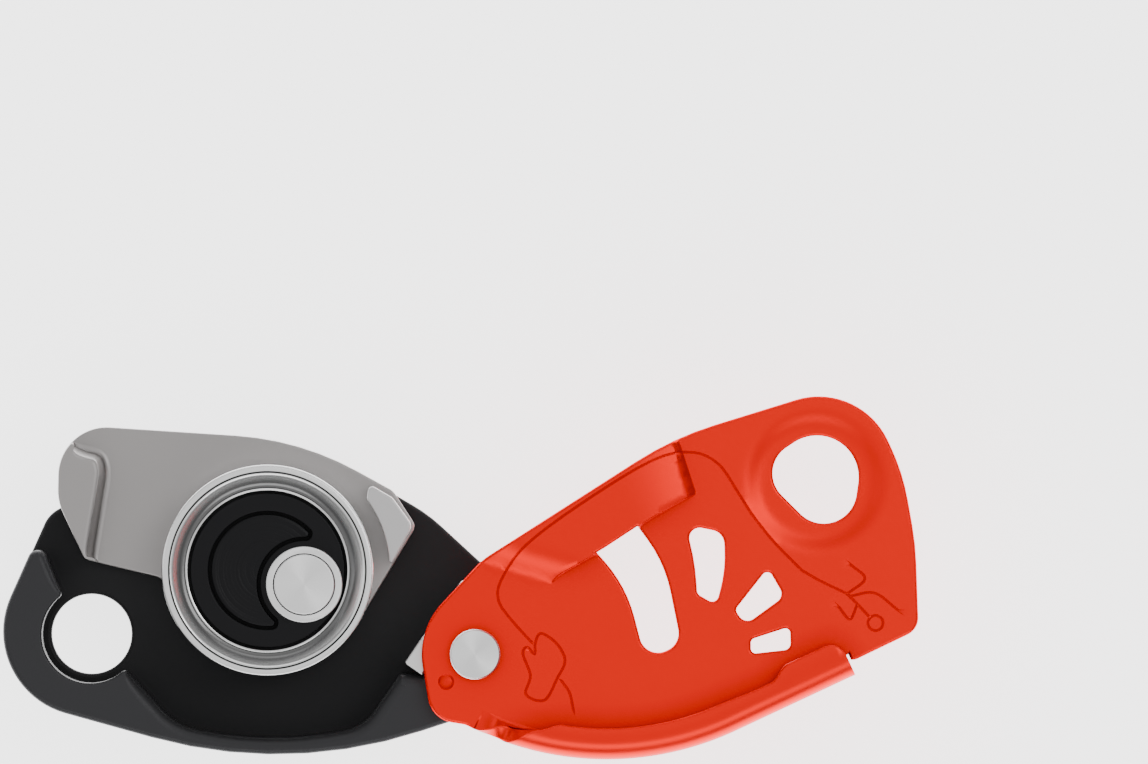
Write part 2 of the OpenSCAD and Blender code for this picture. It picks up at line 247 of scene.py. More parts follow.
def softened(loop, r, angle=25, spacing=0.8):
    """The loop with each corner sharper than angle cut back by r and rounded."""
    loop = dense(loop, spacing)
    e = np.roll(loop, -1, 0) - loop
    e /= np.linalg.norm(e, axis=1)[:, None]
    before = np.roll(e, 1, 0)
    turn = np.degrees(np.arccos(np.clip(np.sum(before * e, 1), -1, 1)))
    along = np.concatenate([[0], np.cumsum(np.linalg.norm(np.roll(loop, -1, 0) - loop, axis=1))])
    total = along[-1]

    def at(s):
        s %= total
        i = int(np.searchsorted(along, s, "right")) - 1
        return loop[i] + e[i] * (s - along[i])

    corner = [i for i in range(len(loop)) if turn[i] > angle]
    out = []
    for i in range(len(loop)):
        gap = [min((along[i] - along[c]) % total, (along[c] - along[i]) % total) for c in corner]
        if i in corner:
            a, b, c = at(along[i] - r), loop[i], at(along[i] + r)
            out += [(1 - t) ** 2 * a + 2 * t * (1 - t) * b + t * t * c for t in np.linspace(0, 1, 9)]
        elif not gap or min(gap) > r + 0.05:
            out.append(loop[i])
    return np.array(out)


def grid(loops, pitch, keep, clear):
    """Points of a regular net that keep accepts, at least clear from every (line, closed)."""
    lo, hi = loops[0].min(0), loops[0].max(0)
    rows = int((hi[1] - lo[1]) / (pitch * TRIANGLE)) + 1
    cols = int((hi[0] - lo[0]) / pitch) + 2
    p = np.array([[lo[0] + (i + 0.5 * (j % 2)) * pitch, lo[1] + j * pitch * TRIANGLE]
                  for j in range(rows) for i in range(cols)])
    p = p[keep(p)]
    for line, closed in clear:
        p = p[away(p, line, closed) > 0.55 * pitch]
    return p


# ---------------------------------------------------------------- meshes
class Cap(tuple):
    """A face of a flat end: it keeps its own shading against the wall round it."""


def piece(name, verts, faces, body, slot, material, replaces=(), angle=35, level=False):
    """A mesh piece from points in mm, smooth up to angle, that rides on a body."""
    mesh = bpy.data.meshes.new(name)
    bm = bmesh.new()
    cap = bm.faces.layers.int.new("cap")
    made = [bm.verts.new((p[0] * MM, p[1] * MM, p[2] * MM)) for p in verts]
    for f in faces:
        ids = list(dict.fromkeys(int(i) for i in f))
        if len(ids) > 2:
            try:
                bm.faces.new([made[i] for i in ids])[cap] = isinstance(f, Cap)
            except ValueError:  # the same face again
                pass
    bmesh.ops.remove_doubles(bm, verts=bm.verts, dist=2e-6)
    bmesh.ops.dissolve_degenerate(bm, dist=1e-7, edges=bm.edges)
    bmesh.ops.delete(bm, geom=[v for v in bm.verts if not v.link_faces], context="VERTS")
    bmesh.ops.recalc_face_normals(bm, faces=bm.faces)
    for f in bm.faces:
        f.smooth = True
    for e in bm.edges:
        if len(e.link_faces) == 2:
            a, b = e.link_faces
            e.smooth = a[cap] == b[cap] and e.calc_face_angle(0) < radians(angle)
    bm.faces.layers.int.remove(cap)
    bm.to_mesh(mesh)
    bm.free()
    obj = bpy.data.objects.new(name, mesh)
    bpy.context.scene.collection.objects.link(obj)
    mesh.materials.append(material)
    if level:
        w = obj.modifiers.new("level", "WEIGHTED_NORMAL")
        w.keep_sharp = True
        w.weight = 50
    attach(obj, body)
    if replaces:
        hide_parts(*replaces)


def edge_profile(z0, z1, top, bottom, steps=6):
    """(inset, height) pairs of a wall from its rounded top edge down to its rounded bottom edge."""
    out = [(top * (1 - sin(pi / 2 * i / steps)), z1 - top * (1 - cos(pi / 2 * i / steps)))
           for i in range(steps + 1)]
    out += [(bottom * (1 - cos(pi / 2 * i / steps)), z0 + bottom * (1 - sin(pi / 2 * i / steps)))
            for i in range(steps + 1)]
    return out


def shell(loops, profile, lines=(), pitch=None, top=None, under=None, weight=None, is_open=None):
    """Points and faces of a closed slab with the material on the left of each loop.
    profile(k): loop k's (inset, height) pairs, from the top. weight[k]: scales its insets.
    lines: (line, closed) lists that the top and the bottom follow. pitch: a net of points between them.
    top, under: added heights. is_open[k]: points of loop k between which no wall is made."""
    verts, faces = [], []
    zs = [z for k in range(len(loops)) for _, z in profile(k)]
    z0, z1 = min(zs), max(zs)
    caps = [[], []]

    def lift(p, z):
        if top is None and under is None:
            return z
        f = (z - z0) / (z1 - z0)
        return z + f * (top(p) if top else 0) + (1 - f) * (under(p) if under else 0)

    for k, loop in enumerate(loops):
        n = normals(loop)
        w = weight[k] if weight else np.ones(len(loop))
        start = len(verts)
        rows = profile(k)
        for j, (inset, z) in enumerate(rows):
            ring = loop + n * (inset * w)[:, None]
            height = np.full(len(ring), float(z))
            if is_open:
                height[is_open[k]] = z1 if j < len(rows) / 2 else z0
            height = lift(ring, height)
            verts += [(*p, h) for p, h in zip(ring, height)]
            if j == 0:
                caps[0].append(ring)
            if j == len(rows) - 1:
                caps[1].append(ring)
        m = len(loop)
        for j in range(len(rows) - 1):
            for i in range(m):
                q = (i + 1) % m
                if is_open and is_open[k][i] and is_open[k][q]:
                    continue
                a = start + j * m
                faces.append((a + i, a + q, a + m + q, a + m + i))
    for which, cap in enumerate(caps):
        cap = [clean(c, CAP_GAP) for c in cap]

        def keep(p):
            ok = inside(p, cap[0])
            for hole in cap[1:]:
                ok &= ~inside(p, hole)
            return ok

        extra = list(lines[which]) if lines else []
        closed = [(l, True) for l in cap]
        pts = grid(cap, pitch, keep, closed + extra) if pitch else []
        v, f = triangles(closed + extra, pts, keep)
        s = len(verts)
        h = lift(v, np.full(len(v), z0 if which else z1))
        verts += [(*p, z) for p, z in zip(v, h)]
        faces += [Cap(s + t) for t in f]
    return verts, faces


def slab(name, loops, z0, z1, body, slot, material, edge, pitch=None, under=None, **kw):
    """A flat piece, its edges rounded by edge: the first loop is its outline, the others are its holes."""
    oriented = [l if (area(l) > 0) == (k == 0) else l[::-1] for k, l in enumerate(loops)]
    rows = edge_profile(z0, z1, edge, edge)
    v, f = shell(oriented, lambda k: rows, pitch=pitch, under=under)
    piece(name, v, f, body, slot, material, **kw)


def lathe(name, centre, profile, body, slot, material, n=192, **kw):
    """A turned piece: profile is a closed line of (radius, height)."""
    verts, faces = [], []
    m = len(profile)
    for i in range(n):
        a = 2 * pi * i / n
        verts += [(centre[0] + r * cos(a), centre[1] + r * sin(a), z) for r, z in profile]
    for i in range(n):
        b = ((i + 1) % n) * m
        for j in range(m):
            q = (j + 1) % m
            faces.append((i * m + j, b + j, b + q, i * m + q))
    piece(name, verts, faces, body, slot, material, level=True, **kw)


def turned(corners, step=15):
    """A lathe profile through corners (radius, height, rounding)."""
    return rounded(corners, step, longest=50)


# ---------------------------------------------------------------- materials
GRAIN_DEPTH, TURNING_DEPTH = 0.0001, 0.00025
PAINTED_SHADE_REACH = 0.005  # metres within which painted shade darkens an anodised surface beside another surface


def new_node(tree, kind, values=(), feeds=(), **settings):
    """A shader node with its settings, its sockets' values, and the outputs that feed its sockets."""
    made = tree.nodes.new("ShaderNode" + kind)
    for key, value in settings.items():
        setattr(made, key, value)
    for socket, value in dict(values).items():
        made.inputs[socket].default_value = value
    for socket, output in dict(feeds).items():
        tree.links.new(output, made.inputs[socket])
    return made


def radius_about(tree, where, centre):
    """The distance from the upright axis through centre, (x, y) in metres."""
    shift = new_node(tree, "VectorMath", {1: (*centre, 0)}, {0: where}, operation="SUBTRACT")
    level = new_node(tree, "VectorMath", {1: (1, 1, 0)}, {0: shift.outputs[0]}, operation="MULTIPLY")
    return new_node(tree, "VectorMath", feeds={0: level.outputs[0]}, operation="LENGTH").outputs["Value"]


def finish(name, colour, metallic, roughness, grain=0.0, grain_size=2500.0, vary=0.0, specular=0.5,
           aniso=0.0, glow=0.0, painted_shade=0.0, turned_about=None, painted_shade_rings=None):
    """A procedural finish.
    grain, grain_size: strength and scale of fine bumps. vary: how far the roughness wanders.
    aniso: highlights drawn out round Z. dull: how much painted shade darkens the colour beside other
    surfaces.
    turned_about: (x, y) in metres, centre of fine turning marks of scale grain_size.
    rings: such a centre, and (radius in mm, grey) stops of the colour, its dark rings painted shade."""
    mat = bpy.data.materials.new(name)
    mat.use_nodes = True
    tree = mat.node_tree
    tree.nodes.clear()
    shader = new_node(tree, "BsdfPrincipled", {
        "Base Color": (*colour, 1), "Metallic": metallic, "Roughness": roughness,
        "Specular IOR Level": specular, "Anisotropic": aniso,
        "Emission Color": (1, 1, 1, 1), "Emission Strength": glow})
    new_node(tree, "OutputMaterial", feeds={0: shader.outputs[0]})
    where = new_node(tree, "TexCoord").outputs["Object"]

    def feed(socket, output):
        tree.links.new(output, shader.inputs[socket])

    if vary:
        cloud = new_node(tree, "TexNoise", {"Scale": 60, "Detail": 4}, {"Vector": where})
        wander = new_node(tree, "MapRange", {"To Min": roughness - vary, "To Max": roughness + vary},
                          {"Value": cloud.outputs["Fac"]})
        feed("Roughness", wander.outputs[0])
    if grain:
        noise = new_node(tree, "TexNoise", {"Scale": grain_size, "Detail": 2}, {"Vector": where})
        bump = new_node(tree, "Bump", {"Strength": grain, "Distance": GRAIN_DEPTH},
                        {"Height": noise.outputs["Fac"]})
        feed("Normal", bump.outputs[0])
    # painted shade: ambient occlusion darkens the base colour near other surfaces
    if painted_shade:
        occlusion = new_node(tree, "AmbientOcclusion", {"Distance": PAINTED_SHADE_REACH}, samples=8)
        shade = new_node(tree, "Mix", {"A": (*(c * (1 - painted_shade) for c in colour), 1), "B": (*colour, 1)},
                         {"Factor": occlusion.outputs["AO"]}, data_type="RGBA")
        feed("Base Color", shade.outputs["Result"])
    # painted shade: the base colour follows grey stops over the radius
    if painted_shade_rings:
        centre, stops = painted_shade_rings
        first, last = stops[0][0], stops[-1][0]
        reach = new_node(tree, "MapRange", {"From Min": first * MM, "From Max": last * MM},
                         {"Value": radius_about(tree, where, centre)})
        shade_bands = new_node(tree, "ValToRGB", feeds={"Fac": reach.outputs[0]})
        for _ in stops[2:]:
            shade_bands.color_ramp.elements.new(0.5)
        for stop, (r, grey) in zip(shade_bands.color_ramp.elements, stops):
            stop.position = (r - first) / (last - first)
            stop.color = (grey, grey, grey, 1)
        feed("Base Color", shade_bands.outputs["Color"])
    if turned_about is not None:
        marks = new_node(tree, "TexNoise", {"Scale": grain_size, "Detail": 1},
                         {"W": radius_about(tree, where, turned_about)}, noise_dimensions="1D")
        bump = new_node(tree, "Bump", {"Strength": 0.5, "Distance": TURNING_DEPTH},
                        {"Height": marks.outputs["Fac"]})
        feed("Normal", bump.outputs[0])
    if aniso:
        feed("Tangent", new_node(tree, "Tangent", direction_type="RADIAL", axis="Z").outputs[0])
    return mat


def grey(value):
    return (value, value, value)


# the orange carries painted shade: it darkens beside the lip and other parts
ORANGE = finish("orange_anodised_with_painted_shade", (0.94, 0.0055, 0.0002), 1.0, 0.36, grain=0.05, grain_size=3000,
                vary=0.03, painted_shade=0.6)
GRAPHITE = finish("graphite_finish", (0.036, 0.036, 0.0385), 0.6, 0.42, grain=0.06, grain_size=2600,
                  vary=0.04, specular=0.3)
# a darker copy of the graphite: painted shade for the frame's floor deep in the pocket
SHADED_GRAPHITE = finish("graphite_floor_painted_shade", (0.012, 0.012, 0.013), 0.4, 0.5, grain=0.06, grain_size=2600,
              vary=0.04, specular=0.3)
SATIN = finish("satin_steel_finish", (0.36, 0.345, 0.34), 1.0, 0.42, grain=0.05, grain_size=2200, vary=0.04)
NOSE = finish("nose_finish", (0.56, 0.55, 0.55), 0.85, 0.4, grain=0.05, grain_size=2200, vary=0.03)
# painted shade: the dark rings over the cove (15.35-16.3 mm) and the scribed line (18.1-18.38 mm) stand in
# for their shade
FLANGE = finish("turned_steel_with_painted_shade", grey(0.86), 1.0, 0.24, aniso=0.5, painted_shade_rings=(WHEEL * MM, [
    (14, 0.7), (15.2, 0.75), (15.35, 0.16), (16.3, 0.16), (17.4, 0.8), (18.05, 0.86), (18.1, 0.08),
    (18.38, 0.08), (18.43, 0.86), (19.8, 0.86)]))
DISC = finish("turned_disc_finish", grey(0.9), 1.0, 0.33, aniso=0.75)
STEEL = finish("polished_steel_finish", (0.8, 0.8, 0.79), 1.0, 0.26, grain=0.03, grain_size=1800, vary=0.04)
BLACK = finish("black_anodised_finish", (0.004, 0.004, 0.005), 0.3, 0.34, grain=0.04, grain_size=3000,
               vary=0.03, specular=0.25)
TURNED_BLACK = finish("turned_black_finish", (0.004, 0.004, 0.005), 0.3, 0.34, grain_size=1400,
                      specular=0.25, turned_about=WHEEL * MM)
NYLON = finish("black_nylon_finish", (0.014, 0.014, 0.015), 0.0, 0.5, grain=0.12, grain_size=1500,
               vary=0.05, specular=0.35)
BEARING = finish("bearing_steel_finish", grey(0.55), 1.0, 0.2, vary=0.03)
BRONZE = finish("bronze_finish", (0.45, 0.27, 0.1), 1.0, 0.35, grain=0.03, grain_size=1500, vary=0.03)
BY_SLOT = {"graphite_anodised": GRAPHITE, "orange_anodised": ORANGE, "satin_steel": SATIN,
           "turned_steel": FLANGE, "polished_steel": STEEL, "black_anodised": BLACK,
           "black_nylon": NYLON, "bearing_steel": BEARING, "bronze": BRONZE}

for part in frame["record"]["subparts"]:
    node = frame["nodes"].get(part["node"])
    if node is not None:
        node.data.materials.clear()
        node.data.materials.append(BY_SLOT[part["material_slot"]])


# ---------------------------------------------------------------- fixed side plate
HOLE = (0, 0)              # the attachment hole is the part's origin
HOLE_R, LAND = 7.4, 1.6    # its radius, and the width of the low ring round it
AXLE_BORE = 4.95
RIM_FOOT = 0.9             # the rim starts inside the floor
OUTLINE = rounded([(-22.3, -9.7, 15.8), (36.7, -26.1, 86), (84.2, -10.3, 9.5), (80.2, 6, 6),
                   (62.5, 22.3, 30), (44, 33, 25), (30, 35.6, 30), (8, 30.6, 20), (-8, 22.3, 6)])
WEAR_START, WEAR_ANGLE = np.array([58.1, -5.3]), radians(55.3)
WEAR_T, WEAR_L = 4.1, 19.6
ALONG_WEAR = np.array([cos(WEAR_ANGLE), sin(WEAR_ANGLE)])
BEHIND_WEAR = np.array([sin(WEAR_ANGLE), -cos(WEAR_ANGLE)])
WEAR_BACK = WEAR_START + (WEAR_T + 0.05) * BEHIND_WEAR
POCKET = rounded([(-40, 15.6, 0), (-8.6, 15.6, 1.6), (-5.6, 8.1, 0.5), (-2, 3, 0), (6.6, -6.6, 1.5),
                  (15.8, -16.7, 12), (26, -18.9, 60), (38, -19.2, 60), (50.3, -17.3, 9), (57.4, -7.2, 0.6),
                  (*WEAR_BACK, 0.2), (*(WEAR_BACK + 40 * ALONG_WEAR), 0), (60, 60, 0), (-40, 60, 0)])
LAND_RING = circle(HOLE, HOLE_R + LAND)


def rim_round(loop):
    """The rounding along a rim loop: broad along the rope pocket, tighter outside and at the hole."""
    outer = away(loop, OUTLINE) < 0.3
    hole = np.linalg.norm(loop, axis=1) < HOLE_R + LAND + 1.2
    hook = loop[:, 1] > -5
    r = np.where(outer, 1.0, np.where(hole, 0.5, np.where(hook, 1.5, 2.1)))
    return eased(r, 6)


def domed(loop, z0, z1, r, steps=9):
    """A block with a flat top whose edge is rounded by r, one radius for each point of the loop."""
    nrm, n = normals(loop), len(loop)
    rows = []
    for j in range(steps + 1):
        t = pi / 2 * j / steps
        ring = loop + nrm * (r * (1 - sin(t)))[:, None]
        rows.append([(*p, z1 - ri * (1 - cos(t))) for p, ri in zip(ring, r)])
    rows.append([(*p, z0) for p in loop])
    verts = [p for row in rows for p in row]
    faces = [(j * n + q, j * n + (q + 1) % n, (j + 1) * n + (q + 1) % n, (j + 1) * n + q)
             for j in range(len(rows) - 1) for q in range(n)]
    for row, z in ((rows[0], z1), (rows[-1], z0)):
        flat = clean(np.array([p[:2] for p in row]), CAP_GAP)
        cv, cf = triangles([(flat, True)], [], lambda p: inside(p, flat))
        s = len(verts)
        verts += [(*p, z) for p in cv]
        faces += [Cap(s + t) for t in cf]
    return verts, faces


rims = boundary([OUTLINE, POCKET, LAND_RING],
                lambda p: inside(p, OUTLINE) & ~inside(p, POCKET) & ~inside(p, LAND_RING))
rims = [clean(softened(loop, 1.1)) for loop in rims if area(loop) > 20]
for i, loop in enumerate(rims):
    v, f = domed(loop, RIM_FOOT, RIM_TOP, rim_round(loop))
    piece(f"frame_rim_{i + 1}", v, f, "frame", "graphite_anodised", GRAPHITE, angle=40)

# the floor takes the darker graphite copy, painted shade
slab("frame_floor", [OUTLINE + normals(OUTLINE) * 0.02, circle(HOLE, HOLE_R), circle(AXLE, AXLE_BORE)],
     0, FLOOR_T, "frame", "graphite_anodised", SHADED_GRAPHITE, edge=0.7, replaces=("fixed_side_plate",))
BOSS_R, BOSS_TOP, BOSS_BOTTOM = 8.2, 0.5, -1.4
lathe("frame_boss", AXLE, turned([(AXLE_BORE, BOSS_TOP, 0), (BOSS_R, BOSS_TOP, 0), (BOSS_R, BOSS_BOTTOM, 0.5),
                                  (AXLE_BORE, BOSS_BOTTOM, 0.2)]),
      "frame", "graphite_anodised", GRAPHITE)

wear = rounded([(0, 0, 0.6), (WEAR_L, 0, 1.6), (WEAR_L, -WEAR_T, 0.4), (0, -WEAR_T, 0.3)])
wear = WEAR_START + wear[:, :1] * ALONG_WEAR - wear[:, 1:] * BEHIND_WEAR
slab("wear_plate", [wear], FLOOR_T + 0.02, RIM_TOP - 0.2, "frame", "polished_steel", STEEL, edge=0.4,
     replaces=("friction_plate",))

# ---------------------------------------------------------------- cam
PAD_TOP, NOSE_TOP = CAM_TOP + 9, CAM_TOP + 11
CAM = rounded([(-6, 39, 9), (38.8, 36.1, 54), (56, 26.6, 3), (60.3, 20, 2), (48.3, 0, 6), (34, -7.4, 12),
               (24.5, -5, 3), (19.6, 6.2, 0.6), (14.9, 6.2, 0.6), (13.4, 10.3, 3), (-1.3, 13.9, 1.3),
               (-6.3, 24.6, 10)])
slab("cam_base", [CAM, circle(AXLE, 3.5)], CAM_Z, CAM_TOP, "cam_body", "satin_steel", SATIN, edge=0.35,
     replaces=("cam",))

# the pad stands upright on the cam's own edge and slopes down to the plate elsewhere
FOOT = rounded([(-20, 36.6, 0), (-3.8, 35.9, 8), (2.7, 34.4, 3.6), (4.1, 30.6, 8), (1.2, 13.0, 0.3),
                (1.1, 8, 0), (-20, 8, 0)])
SHOULDER, FILLET = 0.7, 0.9  # radii at the slope's top and foot
pad = boundary([CAM, FOOT], lambda p: inside(p, CAM) & inside(p, FOOT))[0]
pad = clean(softened(clean(pad, 0.1), 0.6), 0.05)
slope = eased(np.where(away(pad, CAM) < 0.35, 0.12, 1.35), 5)
pad_rows = [(2.35 - SHOULDER * sin(radians(a)), PAD_TOP - SHOULDER * (1 - cos(radians(a))))
            for a in range(0, 81, 10)]
pad_rows += [(1.0 - FILLET * (1 - cos(radians(a))), CAM_TOP + 1.0 - FILLET * sin(radians(a)) - 0.05)
             for a in range(0, 91, 10)]
v, f = shell([pad], lambda k: pad_rows, weight=[slope])
piece("cam_pad", v, f, "cam_body", "satin_steel", SATIN, angle=50)

nose = rounded([(51.6, 27.9, 0.8), (55.9, 25.4, 3), (59.7, 20.2, 1.8), (55.7, 12.8, 0.6), (50, 18, 0)])
room = circle(WHEEL, WHEEL_R + 3, 200)
cut_nose = boundary([nose, room], lambda p: inside(p, nose) & ~inside(p, room))[0]
slab("cam_nose", [softened(cut_nose, 0.7)], CAM_TOP - 0.2, NOSE_TOP, "cam_body", "satin_steel", NOSE,
     edge=0.35)


# ---------------------------------------------------------------- hub, axle head, collar
def crescent(outer_r, inner_r, tip_r):
    """Between a circle about the wheel centre and one about the axle, with rounded tips."""
    across = AXLE - WHEEL
    d = float(np.linalg.norm(across))
    u = across / d
    w = np.array([-u[1], u[0]])
    a = ((outer_r - tip_r) ** 2 - (inner_r + tip_r) ** 2 + d * d) / (2 * d)
    h = sqrt((outer_r - tip_r) ** 2 - a * a)
    t1, t2 = WHEEL + a * u + h * w, WHEEL + a * u - h * w

    def bearing_of(q):
        return atan2(q[1], q[0])

    def arc(c, r, f, t, n):
        return [np.array(c) + r * np.array([cos(f + (t - f) * i / n), sin(f + (t - f) * i / n)])
                for i in range(n + 1)]

    w1, w2 = bearing_of(t1 - WHEEL), bearing_of(t2 - WHEEL) + 2 * pi
    i1, i2 = bearing_of(t1 - AXLE), bearing_of(t2 - AXLE) + 2 * pi
    return np.array(arc(WHEEL, outer_r, w1, w2, 70) + arc(t2, tip_r, w2, i2 + pi, 12)[1:]
                    + arc(AXLE, inner_r, i2, i1, 40)[1:] + arc(t1, tip_r, i1 - pi, w1, 12)[1:-1])


HUB_R, HUB_FLANGE = 14.3, 15.7       # the hub's flange: radius and underside
CORE_R, CORE_IN, CORE_FLOOR = 12.58, 12.2, 12
slab("hub_top", [circle(WHEEL, HUB_R, 160), crescent(11, 8.1, 1.25)], HUB_FLANGE, HUB_TOP, "cam_body",
     "black_anodised", BLACK, edge=0.22, replaces=("hub",))
lathe("hub_core", WHEEL, turned([(0, CAM_TOP + 0.02, 0), (CORE_R, CAM_TOP + 0.02, 0.2),
                                 (CORE_R, HUB_FLANGE + 0.05, 0.1), (CORE_IN, HUB_FLANGE + 0.05, 0),
                                 (CORE_IN, CORE_FLOOR, 0), (0, CORE_FLOOR, 0)]),
      "cam_body", "black_anodised", BLACK)
slab("crescent_island", [crescent(10.35, 8.75, 0.6)], CORE_FLOOR, HUB_TOP - 0.25, "cam_body",
     "black_anodised", TURNED_BLACK, edge=0.2, replaces=("crescent_key",))
COLLAR_IN, COLLAR_R, COLLAR_LO, COLLAR_HI = 5.76, 7.1, HUB_TOP + 0.1, HUB_TOP + 2.23
lathe("collar_ring", AXLE, turned([(COLLAR_IN, COLLAR_LO, 0), (COLLAR_R, COLLAR_LO, 0),
                                   (COLLAR_R, COLLAR_HI, 0.3), (COLLAR_IN, COLLAR_HI, 0.12)], 12),
      "cam_body", "turned_steel", DISC, replaces=("axle_collar",))
AXLE_R, HEAD_R, HEAD_Z = 3.49, 5.62, HUB_TOP + 0.6
AXLE_LO, AXLE_HI = (box[2] for box in span("cam_axle"))
lathe("axle_head", AXLE, turned([(0, AXLE_LO, 0), (AXLE_R, AXLE_LO, 0.3), (AXLE_R, HEAD_Z, 0),
                                 (HEAD_R, HEAD_Z, 0), (HEAD_R, AXLE_HI, 0.3), (0, AXLE_HI, 0)], 12),
      "cam_body", "turned_steel", DISC, replaces=("cam_axle",))

# ---------------------------------------------------------------- wheel
GROOVE_R, ROPE_R = 17.6, 5  # the groove's least radius, and the radius of its round bottom
WHEEL_LO = span("wheel")[0][2]
groove_mid = (WHEEL_LO + WHEEL_TOP) / 2
profile = [(16.5, WHEEL_LO), (WHEEL_R - 0.3, WHEEL_LO), (WHEEL_R, WHEEL_LO + 0.3)]
profile += [(GROOVE_R + ROPE_R * (1 - cos(radians(a))), groove_mid + ROPE_R * sin(radians(a)))
            for a in range(-53, 54, 6)]
# (radius, depth below the wheel's top) over the flange, its scribed line, the dish and the inner lip
profile += [(r, WHEEL_TOP - depth) for r, depth in (
    (WHEEL_R, 0.45), (19.55, 0.22), (19.42, 0.07), (19.2, 0), (18.42, 0), (18.36, 0.05), (18.3, 0.35),
    (18.22, 0.35), (18.16, 0.06), (18.08, 0), (17.9, 0.02))]
profile += [(17.9 - 2.5 * t, WHEEL_TOP - 0.02 - 1.72 * sin(pi / 2 * t) ** 1.25)
            for t in (0.12, 0.25, 0.4, 0.55, 0.7, 0.85, 1)]
profile += [(r, WHEEL_TOP - depth) for r, depth in (
    (15.34, 1.62), (15.22, 1.38), (15.05, 1.28), (14.86, 1.34), (14.76, 1.5), (14.75, 3.2), (16.5, 3.2))]
lathe("grooved_wheel", WHEEL, profile, "wheel_body", "turned_steel", FLANGE, n=256, replaces=("wheel",),
      angle=32)


# ---------------------------------------------------------------- side plate, drawn from its pivot
def to_plate(p):
    """Points drawn from the pivot, with the plate's hole on X, set in the part's frame."""
    c, s = cos(OPEN), sin(OPEN)
    return np.stack([PIVOT[0] + c * p[:, 0] - s * p[:, 1], PIVOT[1] + s * p[:, 0] + c * p[:, 1]], 1)


# the lip follows an arc about LIP_C and then a straight run of LIP_L
LIP_C, LIP_PATH, LIP_R, LIP_L = np.array([38.5, 21.8]), 56.4, 4.0, 24.4
BEND = LIP_PATH - LIP_R
LIP_A0, LIP_A1 = radians(217.0), radians(268)
RAMP_END = radians(229.5) - LIP_A0  # the lip is fully rolled from here on
ARC_STEPS, RUN_STEPS, ROLL_STEPS = 96, 34, 14


def towards(a):
    return np.array([cos(a), sin(a)])


def polar(r, a):
    return LIP_C + r * towards(a)


DOWN = towards(LIP_A1)
ALONG = np.array([-DOWN[1], DOWN[0]])
angles = [LIP_A0 + (LIP_A1 - LIP_A0) * i / ARC_STEPS for i in range(ARC_STEPS + 1)]
stations = [(polar(BEND, a), towards(a)) for a in angles]
stations += [(LIP_C + BEND * DOWN + ALONG * LIP_L * i / RUN_STEPS, DOWN) for i in range(1, RUN_STEPS + 1)]
root = np.array([p for p, _ in stations])
far = np.cumsum([0] + [float(np.linalg.norm(b - a)) for a, b in zip(root, root[1:])])
ARC_END, LIP_TOTAL = far[ARC_STEPS], far[-1]

SHEET = rounded([(62.8, -33.0, 0), (75.2, -33.3, 3.5), (81.9, -19, 50), (85.9, -6, 40), (86.4, 12.8, 14.2),
                 (50.9, 19, 60), (9.3, 15, 12), (-7.6, 8.9, 14), (-12.7, -7, 5.5),
                 (*polar(LIP_PATH + 0.02, LIP_A0 - 0.03), 3), (*polar(LIP_PATH, LIP_A0), 0)], closed=False)
tab = LIP_C + BEND * DOWN + ALONG * (LIP_L + 0.45)
SHEET = dense(clean(np.array([*SHEET, *root, tab, tab + 1.2 * DOWN, [62.2, -32.95]])), 0.8)

BAND = rounded([(3, 30, 0), (3, 12, 0), (11, 3.6, 0.8), (20.5, 6.2, 6), (30, 6.6, 40), (41, 7.8, 30),
                (50.6, 8.2, 0.8), (52.3, 30, 0)], longest=0.4)
WINDOWS = [rounded(w, longest=0.5) for w in (
    [(28, 9, 0.3), (30.7, -1.5, 25), (27.6, -15.4, 3.4), (34.8, -15.6, 3.4), (38.9, -1, 25), (37.3, 9, 0.3)],
    [(45.6, 3.6, 1.9), (51.2, -0.9, 2.6), (48.4, -7.1, 25), (43.9, -12.2, 1.2), (41.7, -8.8, 1.3),
     (44.1, -3.3, 40)],
    [(46.6, -14.6, 1), (55.5, -10.5, 1), (55.8, -16.5, 1.7), (47, -17.9, 1.8)],
    [(46.7, -20.8, 0.9), (54.2, -22, 0.9), (52.4, -25.8, 1.3), (45.5, -23.2, 0.9)])]
PLATE_HOLE = rounded([(61.8, 7, 5.7), (87.5, 10, 7.7), (69.2, -15.9, 6.1)], longest=0.5)


def in_sheet(p):
    """Which points have metal: the raised band bridges the end of the first window."""
    ok = inside(p, SHEET) & ~inside(p, PLATE_HOLE) & (inside(p, BAND) | ~inside(p, WINDOWS[0]))
    for window in WINDOWS[1:]:
        ok &= ~inside(p, window)
    return ok


LOOPS = boundary([SHEET, PLATE_HOLE, BAND] + WINDOWS, in_sheet)

RISE = 2.4       # the band's height
STEP = 0.45      # width of the step along its edge
RAMP_W = 6.6     # width of the rise beside the crease
EASE = 0.15      # softens the crease itself
ROLL_X = 38      # from here the band slopes down to the ridge
CREASE = np.array([[8.4, 14.5], [18.1, 5.2]])
RIDGE = np.array([[50.3, 18.0], [48.3, 8.1]])
FOOT_LINE = np.array([[51.6, 18.0], [50.1, 8.7]])


def across(line, y):
    """Where the line crosses each y."""
    (x0, y0), (x1, y1) = line
    return x0 + (y - y0) * (x1 - x0) / (y1 - y0)


def ramp(p):
    """The band's height: a convex rise from the diagonal crease, then a roll-off to a steep foot."""
    u = (CREASE[1] - CREASE[0]) / np.linalg.norm(CREASE[1] - CREASE[0])
    left = np.clip((p - CREASE[0]) @ np.array([-u[1], u[0]]) / RAMP_W, 0, 1)
    left = left * left / (left + EASE) * (1 + EASE)
    ridge, foot = across(RIDGE, p[:, 1]), across(FOOT_LINE, p[:, 1])
    roll = np.clip((p[:, 0] - ROLL_X) / (ridge - ROLL_X), 0, 1)
    drop = np.clip((p[:, 0] - ridge) / (foot - ridge), 0, 1)
    return RISE * (1 - (1 - left) ** 2) * (1 - 0.45 * roll * roll) * (1 - drop)


